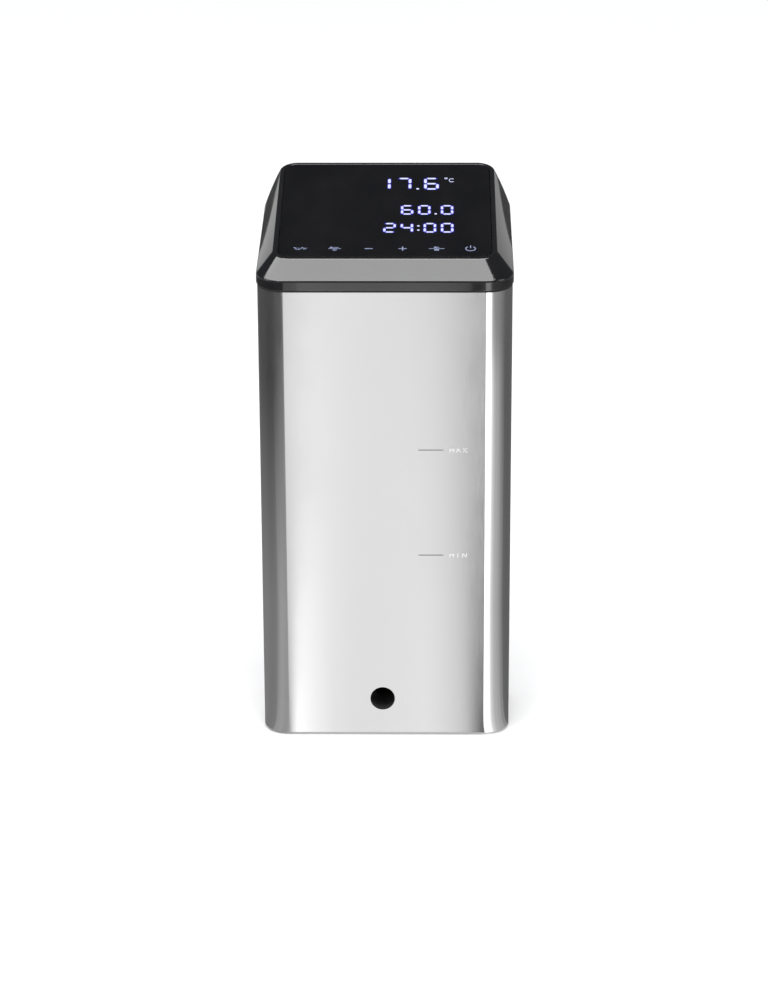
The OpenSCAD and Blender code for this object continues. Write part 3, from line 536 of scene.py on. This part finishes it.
def spindle():
    """The clamp's screw: a plain tip with a chamfered end, a neck, and a cut thread up to the knob."""
    low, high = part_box("clamp_screw")
    axis_x = (low.x + high.x) / 2
    axis_z = (low.z + high.z) / 2
    crest = (high.x - low.x) / 2
    root = crest - 0.62 * MM
    plain = crest - 1.0 * MM
    end_chamfer = 0.4 * MM
    tip_end = low.y + 4.3 * MM
    thread_start = tip_end + 0.8 * MM
    around = 32
    steps_per_turn = 10

    def steady(radius):
        """The same radius at every y and turn."""
        return lambda y, turn: radius

    def thread_radius(y, turn):
        """A flat crest and root with sloping flanks between them."""
        phase = (y / THREAD_PITCH - turn) % 1.0
        flank = min(1.0, max(0.0, 2.2 * abs(2 * phase - 1) - 0.6))
        return root + (crest - root) * flank

    rows = [(low.y, steady(plain - end_chamfer)), (low.y + end_chamfer, steady(plain)),
            (tip_end, steady(plain)), (tip_end, steady(root))]
    count = int((high.y - thread_start) / THREAD_PITCH * steps_per_turn)
    for i in range(count + 1):
        rows.append((thread_start + (high.y - thread_start) * i / count, thread_radius))
    rings = []
    for y, radius in rows:
        ring = []
        for k in range(around):
            turn = k / around
            r = radius(y, turn)
            angle = -2 * math.pi * turn
            ring.append(Vector((axis_x + r * math.cos(angle), y, axis_z + r * math.sin(angle))))
        rings.append(ring)
    vertices, faces = loft(rings)
    last = (len(rings) - 1) * around
    faces.append(tuple(range(around)))
    faces.append(tuple(last + k for k in reversed(range(around))))
    piece = make_piece("spindle_thread", vertices, faces, bright_steel, "spindle")
    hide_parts("clamp_screw")


# ---- light that leaks round the lit figures ----


def islands(node_name):
    """The separate solids of a CAD node, each as a list of points."""
    work = bmesh.new()
    work.from_mesh(NODES[node_name].data)
    bmesh.ops.remove_doubles(work, verts=work.verts, dist=0.001 * MM)
    seen = set()
    groups = []
    for start in work.verts:
        if start in seen:
            continue
        group, stack = [], [start]
        seen.add(start)
        while stack:
            vertex = stack.pop()
            group.append(vertex.co.copy())
            for edge in vertex.link_edges:
                other = edge.other_vert(vertex)
                if other not in seen:
                    seen.add(other)
                    stack.append(other)
        groups.append(group)
    work.free()
    return groups


def hull_2d(points):
    """Convex outline of plane points, anticlockwise."""
    ordered = sorted(set((round(x, 7), round(y, 7)) for x, y in points))

    def half(sequence):
        chain = []
        for p in sequence:
            while len(chain) > 1:
                (ax, ay), (bx, by) = chain[-2], chain[-1]
                if (bx - ax) * (p[1] - ay) - (by - ay) * (p[0] - ax) > 0:
                    break
                chain.pop()
            chain.append(p)
        return chain[:-1]

    return half(ordered) + half(reversed(ordered))


def glow_skirts(node_name, name, reach, material, most_points):
    """A soft-edged skirt on the glass round each bar and dot, which have at most so many outline points."""
    front = head_low.y + CHAMFER
    origin = Vector((0, front, top_height(front)))
    lift = TOP_UP * 0.05 * MM
    # (share of the reach, amount of light)
    rings = [(0.0, 1.0), (0.35, 0.62), (0.7, 0.25), (1.0, 0.0)]
    vertices, faces, amounts = [], [], []
    for group in islands(node_name):
        flat = [(p.x, (p - origin).dot(TOP_BACK)) for p in group]
        outline = hull_2d(flat)
        if not 3 <= len(outline) <= most_points:
            continue
        centre = (sum(p[0] for p in outline) / len(outline), sum(p[1] for p in outline) / len(outline))
        start = len(vertices)
        for share, amount in rings:
            for x, y in outline:
                away = Vector((x - centre[0], y - centre[1]))
                away.normalize()
                px, py = x + away.x * reach * share, y + away.y * reach * share
                vertices.append(origin + Vector((px, 0, 0)) + TOP_BACK * py + lift)
                amounts.append(amount)
        count = len(outline)
        for level in range(len(rings) - 1):
            for i in range(count):
                j = (i + 1) % count
                a = start + level * count
                faces.append((a + i, a + count + i, a + count + j, a + j))
    piece = make_piece(name, vertices, faces, material, "housing", smooth=False)
    attribute = piece.data.attributes.new("glow", "FLOAT", "POINT")
    attribute.data.foreach_set("value", amounts)
    piece.visible_shadow = False


# ---- level marks: plain strokes etched at the two levels ----

STROKES = {
    "M": [(0, 0, 0, 1), (0, 1, 0.5, 0.35), (0.5, 0.35, 1, 1), (1, 1, 1, 0)],
    "A": [(0, 0, 0.5, 1), (0.5, 1, 1, 0), (0.22, 0.38, 0.78, 0.38)],
    "X": [(0, 0, 1, 1), (0, 1, 1, 0)],
    "I": [(0.5, 0, 0.5, 1)],
    "N": [(0, 0, 0, 1), (0, 1, 1, 0), (1, 0, 1, 1)],
}


def add_stroke(vertices, faces, start, end, thickness):
    """Adds one flat bar between two points of the sleeve's front."""
    along = (end - start).normalized()
    side = Vector((along.z, 0, -along.x)) * thickness / 2
    first = len(vertices)
    vertices.extend([start - side, start + side, end + side, end - side])
    faces.append((first, first + 1, first + 2, first + 3))


def level_marks():
    """MAX and MIN beside the level lines, as thin strokes on the sleeve's front."""
    height, width, pitch, thin = 2.6 * MM, 2.2 * MM, 3.6 * MM, 0.4 * MM
    line_from, line_to, word_from, thick = 18.2 * MM, 31.9 * MM, 35.4 * MM, 0.45 * MM
    front = sleeve_low.y - 0.02 * MM
    for word, level in LEVELS.items():
        vertices, faces = [], []
        middle = Vector((0, front, sleeve_low.z + level))
        line_start = middle + Vector((line_from, 0, 0))
        line_end = middle + Vector((line_to, 0, 0))
        add_stroke(vertices, faces, line_start, line_end, thick)
        for index, letter in enumerate(word):
            foot = middle + Vector((word_from + index * pitch, 0, -height / 2))
            for x0, z0, x1, z1 in STROKES[letter]:
                start = foot + Vector((x0 * width, 0, z0 * height))
                end = foot + Vector((x1 * width, 0, z1 * height))
                add_stroke(vertices, faces, start, end, thin)
        piece = make_piece("level_" + word.lower(), vertices, faces, etched_words, "housing", smooth=False)
        # The level line's etch carries painted groove shade: darker than the letters' etch.
        piece.data.materials.append(etched_line_painted_shade)
        piece.data.polygons[0].material_index = 1


head_shell()
spindle()
glow_skirts("display_digits", "digit_glow", reach=1.7 * MM, material=digit_glow, most_points=24)
level_marks()
soften(NODES["clamp_knob"], 0.7 * MM)
soften(NODES["touch_glass"], 0.45 * MM)


# ---- studio ----

CAMERA_PLACE = Vector((26.55, -1823.6, 643.5)) * MM
CAMERA_PITCH = math.radians(21.247)
CAMERA_YAW = math.radians(0.90)
CAMERA_ROLL = math.radians(-0.25)
CAMERA_LENS = 121.96
SENSOR_WIDTH = 36.0

FLOOR_SQUARE = [(-6, -6), (6, -6), (6, 6), (-6, 6)]
floor_z = cad_box[0][2] - 0.3 * MM
# cards lie on the floor in layers, this far apart
card_step = 0.05 * MM


def floor():
    """A plain matt white floor, just below the part."""
    mesh = bpy.data.meshes.new("floor")
    mesh.from_pydata([(x, y, floor_z) for x, y in FLOOR_SQUARE], [], [(0, 1, 2, 3)])
    m = Material("floor_white")
    shader = m.principled(Roughness=1.0, Specular_IOR_Level=0.0)
    m.link(m.ramp(m.noise(1.5, detail=2), [(0.3, 0.90), (0.7, 0.92)]), shader.inputs["Base Color"])
    mesh.materials.append(m.data)
    plane = bpy.data.objects.new("floor", mesh)
    bpy.context.scene.collection.objects.link(plane)


def card(name, vertices, faces, tones):
    """A panel that only reflections see, with a tone at each vertex."""
    mesh = bpy.data.meshes.new(name)
    mesh.from_pydata(vertices, [], faces)
    mesh.attributes.new("tone", "FLOAT", "POINT").data.foreach_set("value", tones)
    m = Material(name)
    light = m.add("ShaderNodeEmission")
    m.link(m.add("ShaderNodeAttribute", attribute_name="tone").outputs["Fac"], light.inputs["Strength"])
    m.link(light.outputs[0], m.output.inputs["Surface"])
    mesh.materials.append(m.data)
    sheet = bpy.data.objects.new(name, mesh)
    bpy.context.scene.collection.objects.link(sheet)
    sheet.visible_camera = False
    sheet.visible_diffuse = False
    sheet.visible_shadow = False
    sheet.visible_transmission = False


def fan(name, centre, stops):
    """A card on the floor whose tone changes with direction round a corner of the sleeve.

    Stops are (degrees from the front, positive to the right, tone nearby, tone farther off, tone beyond).
    """
    radii = (0.0005, 0.2, 0.66, 0.70, 1.2)
    count = len(radii)
    height = floor_z + 4 * card_step
    vertices, faces, tones = [], [], []
    for degrees, near, far, beyond in stops:
        a = math.radians(degrees)
        for radius, tone in zip(radii, (near, near, far, beyond, beyond)):
            vertices.append((centre[0] + radius * math.sin(a), centre[1] - radius * math.cos(a), height))
            tones.append(tone)
    for i in range(len(stops) - 1):
        for k in range(count - 1):
            first = count * i + k
            faces.append((first, first + 1, first + count + 1, first + count))
    card(name, vertices, faces, tones)


def runway(stops):
    """A card on the floor in front, whose tone changes across.

    Stops are (x on the sleeve, tone). They spread with distance, so that the sleeve's front mirrors them
    as upright bands.
    """
    near_y = sleeve_low.y - 1 * MM
    far_y = -1.6
    spread = (near_y - far_y) / (near_y - CAMERA_PLACE.y)
    height = floor_z + 2 * card_step
    vertices, faces, tones = [], [], []
    for x, tone in stops:
        far_x = x + (x - CAMERA_PLACE.x) * spread
        vertices += [(x, near_y, height), (far_x, far_y, height)]
        tones += [tone, tone]
    for i in range(len(stops) - 1):
        faces.append((2 * i, 2 * i + 1, 2 * i + 3, 2 * i + 2))
    card("runway", vertices, faces, tones)


def panel(name, corners, tone):
    """A flat card of one tone."""
    card(name, corners, [tuple(range(len(corners)))], [tone] * len(corners))


def level_panel(name, height, corners, tone):
    """A level card with corners given as (x, y)."""
    panel(name, [(x, y, height) for x, y in corners], tone)


def upright_panel(name, left, right, tone):
    """A card behind the object, standing on the floor."""
    y = 2.0
    top = 0.40
    panel(name, [(left, y, floor_z), (right, y, floor_z), (right, y, top), (left, y, top)], tone)


def area_light(name, place, aim, width, depth, power):
    """A soft box that the camera doesn't see."""
    data = bpy.data.lights.new(name, "AREA")
    data.shape = "RECTANGLE"
    data.size = width
    data.size_y = depth
    data.energy = power
    lamp_object = bpy.data.objects.new(name, data)
    lamp_object.location = place
    lamp_object.rotation_euler = (Vector(aim) - Vector(place)).to_track_quat("-Z", "Y").to_euler()
    lamp_object.visible_camera = False
    bpy.context.scene.collection.objects.link(lamp_object)


def world():
    """Pale where the camera looks past the floor and as fill light, dark grey in reflections."""
    scene_world = bpy.data.worlds.new("studio")
    bpy.context.scene.world = scene_world
    scene_world.use_nodes = True
    tree = scene_world.node_tree
    tree.nodes.clear()
    output = tree.nodes.new("ShaderNodeOutputWorld")
    mix = tree.nodes.new("ShaderNodeMixShader")
    path = tree.nodes.new("ShaderNodeLightPath")
    tree.links.new(path.outputs["Is Glossy Ray"], mix.inputs["Fac"])
    pale, grey = ((0.985, 0.99, 1.0, 1), 1.03), ((0.9, 0.95, 1.0, 1), 0.06)
    for socket, (colour, strength) in ((1, pale), (2, grey)):
        background = tree.nodes.new("ShaderNodeBackground")
        background.inputs["Color"].default_value = colour
        background.inputs["Strength"].default_value = strength
        tree.links.new(background.outputs[0], mix.inputs[socket])
    tree.links.new(mix.outputs[0], output.inputs["Surface"])


floor()
world()

corner_y = sleeve_low.y + SLEEVE_RADIUS
fan("left_fan", (sleeve_low.x + SLEEVE_RADIUS, corner_y), [
    (-2.7, 0.45, 0.75, 0.70), (-5, 0.40, 0.75, 0.70), (-7.5, 0.36, 0.24, 0.15), (-10, 0.36, 0.19, 0.08),
    (-23, 0.40, 0.15, 0.08), (-36, 0.38, 0.08, 0.08), (-50, 0.24, 0.05, 0.06), (-65, 0.22, 0.04, 0.06),
    (-80, 0.22, 0.05, 0.06), (-98, 0.24, 0.07, 0.08), (-120, 0.24, 0.08, 0.08), (-150, 0.22, 0.12, 0.12),
    (-180, 0.30, 0.30, 0.30),
])
fan("right_fan", (sleeve_high.x - SLEEVE_RADIUS, corner_y), [
    (0.7, 0.15, 0.10, 0.10), (3, 0.15, 0.15, 0.15), (5, 1.8, 2.4, 2.1), (18, 1.8, 2.3, 2.1),
    (24, 1.2, 1.6, 1.0), (30, 0.80, 1.0, 0.35), (38, 0.63, 0.66, 0.30), (45, 0.54, 0.52, 0.28),
    (58, 0.46, 0.45, 0.25), (73, 0.33, 0.27, 0.20), (90, 0.16, 0.13, 0.13), (110, 0.14, 0.12, 0.12),
    (140, 0.14, 0.13, 0.13), (180, 0.20, 0.20, 0.20),
])
runway([
    (-0.12, 0.40), (-0.0550, 0.40), (-0.0530, 0.95), (-0.050, 1.40), (-0.045, 1.27), (-0.037, 1.12),
    (-0.030, 1.02), (-0.018, 0.96), (-0.005, 0.96), (0.012, 0.98), (0.021, 1.0), (0.028, 0.96),
    (0.034, 0.89), (0.041, 0.80), (0.046, 0.64), (0.050, 0.40), (0.0545, 0.15), (0.12, 0.15),
])
level_panel("floor_card", floor_z + card_step, FLOOR_SQUARE, tone=0.85)
wedge = [(-0.9, 0.45), (0.75, 0.45), (1.9, 6), (-2.4, 6)]
level_panel("dark_wedge", floor_z + 2 * card_step, wedge, tone=0.07)
upright_panel("left_panel", left=-1.5, right=-0.72, tone=0.6)
upright_panel("right_panel", left=0.58, right=1.5, tone=0.45)
wing = [(-0.5, -0.9), (-0.5, -0.15), (-1.25, 0.45), (-1.55, 0.05), (-1.2, -0.6)]
level_panel("left_wing", height=1.3, corners=wing, tone=4.0)
strip = [(-0.55, -0.2), (0.55, -0.2), (0.55, 0.15), (-0.55, 0.15)]
level_panel("edge_strip", height=1.26, corners=strip, tone=7.0)
area_light("top_box", (0.0, -0.60, 1.25), aim=(0, -0.08, 0.1), width=1.15, depth=0.75, power=11)
area_light("left_box", (-1.3, -0.4, 0.7), aim=(0, 0, 0), width=0.7, depth=1.0, power=2)
area_light("right_box", (1.3, -0.5, 0.8), aim=(0, 0, 0), width=0.6, depth=1.0, power=2)


# ---- camera ----

camera_data = bpy.data.cameras.new("camera")
camera_data.lens = CAMERA_LENS
camera_data.sensor_width = SENSOR_WIDTH
camera_data.clip_end = 50
camera = bpy.data.objects.new("camera", camera_data)
camera.matrix_world = (
    Matrix.Translation(CAMERA_PLACE)
    @ Matrix.Rotation(CAMERA_YAW, 4, "Z")
    @ Matrix.Rotation(math.radians(90) - CAMERA_PITCH, 4, "X")
    @ Matrix.Rotation(CAMERA_ROLL, 4, "Z")
)
bpy.context.scene.collection.objects.link(camera)
bpy.context.scene.camera = camera
bpy.context.scene.view_settings.view_transform = "Standard"
bpy.context.scene.view_settings.look = "None"
